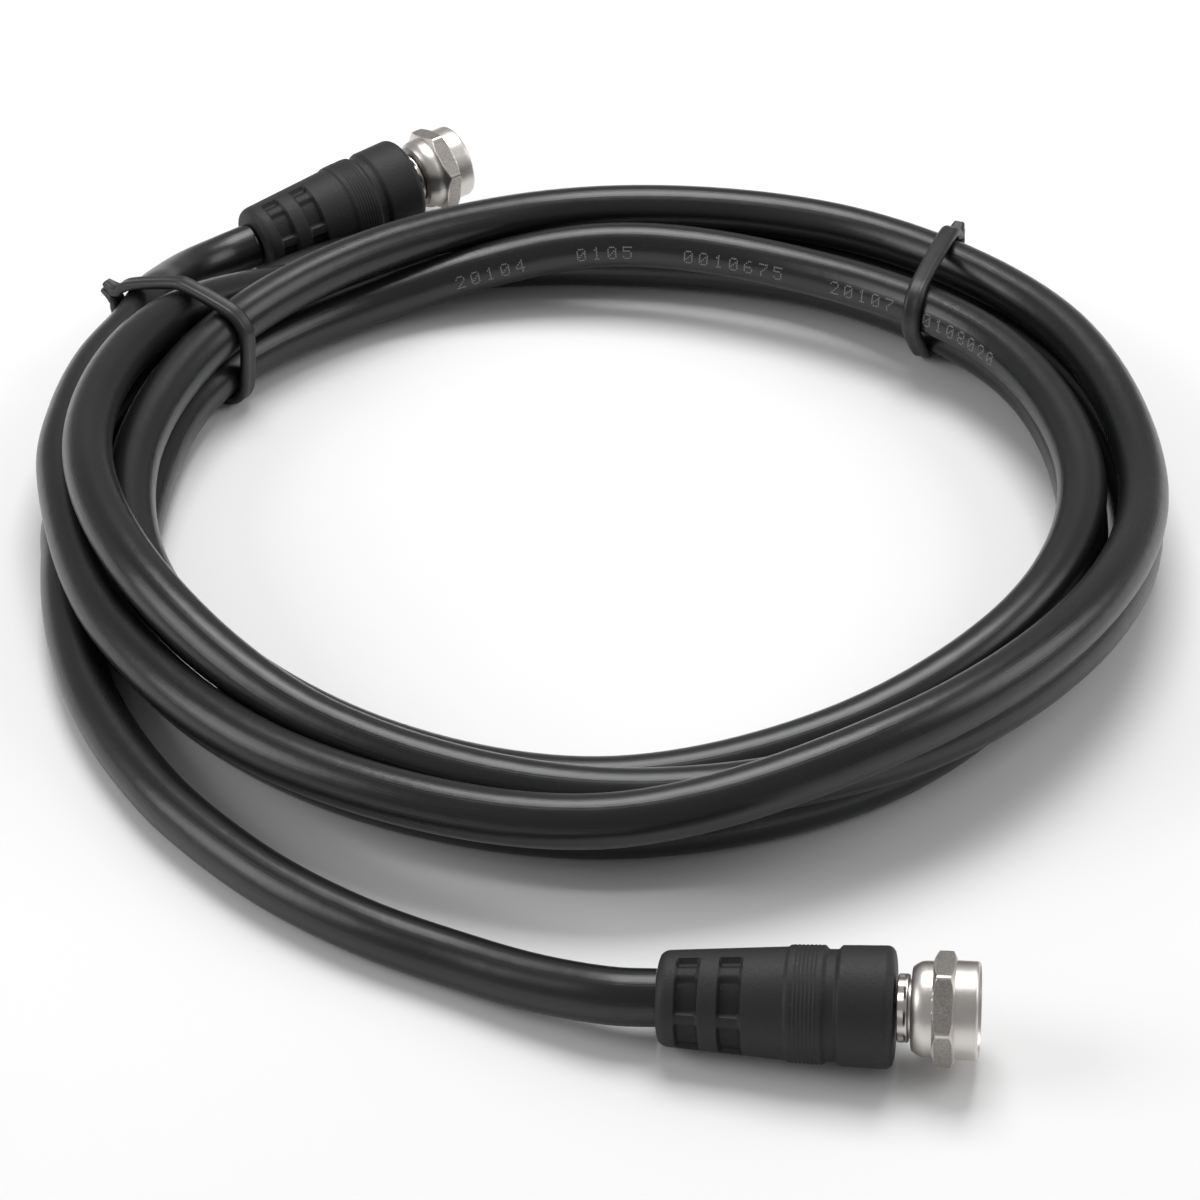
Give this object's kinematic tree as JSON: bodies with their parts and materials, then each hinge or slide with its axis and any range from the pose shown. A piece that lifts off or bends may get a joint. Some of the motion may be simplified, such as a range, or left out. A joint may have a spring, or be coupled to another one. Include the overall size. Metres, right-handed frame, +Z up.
{
  "type": "coaxial cable coil",
  "caption": "Black coaxial patch cable in a loose coil held by thin ties, with screw-on hex-nut connectors in moulded boots at its ends.",
  "frame": {"origin": "middle of the bounding box, on the floor that the coil lies on", "axes": "+Z up, +Y away from the picture's viewer, +X to the right"},
  "size_m": [0.14, 0.1901, 0.0182],
  "materials": {
    "jacket": "semi-gloss black PVC",
    "boot": "matte black moulded PVC, lightly textured",
    "nickel": "satin nickel plating",
    "dielectric": "white polyethylene",
    "copper": "bare copper-clad wire",
    "tie": "matte black"
  },
  "bodies": {
    "cable": {"cable_coil": "jacket", "cable_tail_front": "jacket", "cable_tail_back": "jacket", "boot_front": "boot", "boot_back": "boot", "ferrule_front": "nickel", "ferrule_back": "nickel", "insulator_front": "dielectric", "insulator_back": "dielectric", "pin_front": "copper", "pin_back": "copper", "tie_left": "tie", "tie_right": "tie"},
    "nut_front": {"nut_front": "nickel"},
    "nut_back": {"nut_back": "nickel"}
  },
  "joints": [
    {"name": "nut_front_spin", "type": "hinge", "parent": "cable", "child": "nut_front", "pos_m": [0.03565, -0.08912, 0.00701], "axis": [0.9897, -0.1303, 0.0593], "continuous": true},
    {"name": "nut_back_spin", "type": "hinge", "parent": "cable", "child": "nut_back", "pos_m": [-0.02312, 0.08914, 0.00789], "axis": [0.8252, 0.5566, 0.0958], "continuous": true}
  ]
}
